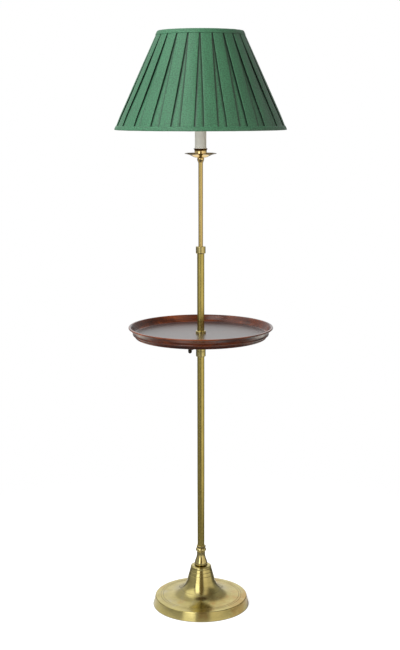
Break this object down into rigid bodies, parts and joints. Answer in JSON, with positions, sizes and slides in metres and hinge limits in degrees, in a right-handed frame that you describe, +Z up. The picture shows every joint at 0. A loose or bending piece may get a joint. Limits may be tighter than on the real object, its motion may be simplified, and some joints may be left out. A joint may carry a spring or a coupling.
{
  "type": "floor lamp",
  "caption": "Telescopic floor lamp with a weighted bell base, sliding and turning round tray table, candle-style stem and pleated cone shade on a harp.",
  "frame": {"origin": "centre of the base's underside, on the floor", "axes": "+Z up along the column, -Y to the front, +X to the right, the harp in the XZ plane, the flex inlet at the back on +Y"},
  "size_m": [0.4509, 0.451, 1.5565],
  "materials": {
    "green_felt": "felt",
    "cast_iron": "rough",
    "aged_brass": "satin, lacquered",
    "polished_brass": "polished",
    "steel": "zinc plated",
    "black_rubber": "matte",
    "dark_metal": "blackened",
    "white_nylon": "moulded",
    "ivory_card": "lacquered tube",
    "black_phenolic": "moulded",
    "bulb_aluminium": "rolled",
    "opal_glass": "opal",
    "frame_wire": "white powder coat",
    "green_silk": "pleated linen silk",
    "ivory_lining": "smooth lining",
    "mahogany": "french polished"
  },
  "bodies": {
    "base": {"felt_pad": "green_felt", "base_weight": "cast_iron", "base_cover": "aged_brass", "base_nipple": "steel", "bottom_washer": "steel", "bottom_nut": "steel", "flex_grommet": "black_rubber", "neck_casting": "aged_brass", "neck_set_screw": "dark_metal", "column_tube": "aged_brass", "guide_bush": "white_nylon", "clamp_collet": "white_nylon"},
    "locking_collar": {"locking_collar": "aged_brass"},
    "stem_slider": {"stem_guide": "white_nylon"},
    "stem": {"stem_stop_rings": "aged_brass", "stem_tube": "aged_brass", "stem_nipple": "steel", "stem_baluster": "polished_brass", "drip_pan": "polished_brass", "candle_cup": "polished_brass", "cup_nut": "steel", "candle_tube": "ivory_card", "candle_cap": "polished_brass", "harp_saddle": "polished_brass", "harp": "polished_brass", "socket_cap": "polished_brass", "socket_shell": "polished_brass", "socket_body": "black_phenolic", "screw_shell": "polished_brass", "bulb_cap": "bulb_aluminium", "bulb_glass": "opal_glass"},
    "ferrule_left": {"harp_ferrule_left": "polished_brass"},
    "ferrule_right": {"harp_ferrule_right": "polished_brass"},
    "finial": {"finial": "polished_brass"},
    "shade": {"shade_wires": "frame_wire", "shade_spider": "frame_wire", "shade_cover": "green_silk", "shade_lining": "ivory_lining", "shade_trim_top": "green_silk", "shade_trim_bottom": "green_silk"},
    "switch_knob": {"socket_knob": "black_phenolic"},
    "tray_carrier": {"tray_washer": "white_nylon", "tray_collar": "aged_brass"},
    "tray": {"tray": "mahogany", "tray_bush": "aged_brass", "tray_nut": "aged_brass"},
    "thumbscrew": {"tray_thumbscrew": "dark_metal"}
  },
  "joints": [
    {"name": "collar_turn", "type": "hinge", "parent": "base", "child": "locking_collar", "pos_m": [0, 0, 0.99], "axis": [0, 0, 1], "range_deg": [0, 90]},
    {"name": "stem_height", "type": "slide", "parent": "base", "child": "stem_slider", "axis": [0, 0, 1], "range_m": [-0.21, 0.15]},
    {"name": "stem_turn", "type": "hinge", "parent": "stem_slider", "child": "stem", "pos_m": [0, 0, 0.77], "axis": [0, 0, 1], "continuous": true},
    {"name": "ferrule_left_lift", "type": "slide", "parent": "stem", "child": "ferrule_left", "axis": [0, 0, 1], "range_m": [0, 0.016]},
    {"name": "ferrule_right_lift", "type": "slide", "parent": "stem", "child": "ferrule_right", "axis": [0, 0, 1], "range_m": [0, 0.016]},
    {"name": "finial_turn", "type": "hinge", "parent": "stem", "child": "finial", "pos_m": [0, 0, 1.55], "axis": [0, 0, 1], "continuous": true},
    {"name": "shade_turn", "type": "hinge", "parent": "stem", "child": "shade", "pos_m": [0, 0, 1.5432], "axis": [0, 0, 1], "continuous": true},
    {"name": "switch_turn", "type": "hinge", "parent": "stem", "child": "switch_knob", "pos_m": [0, -0.02, 1.3624], "axis": [0, -1, 0], "continuous": true},
    {"name": "tray_height", "type": "slide", "parent": "base", "child": "tray_carrier", "axis": [0, 0, 1], "range_m": [-0.45, 0.19]},
    {"name": "tray_turn", "type": "hinge", "parent": "tray_carrier", "child": "tray", "pos_m": [0, 0, 0.766], "axis": [0, 0, 1], "continuous": true},
    {"name": "thumbscrew_turn", "type": "hinge", "parent": "tray_carrier", "child": "thumbscrew", "pos_m": [-0.02, 0, 0.724], "axis": [-1, 0, 0], "continuous": true}
  ]
}
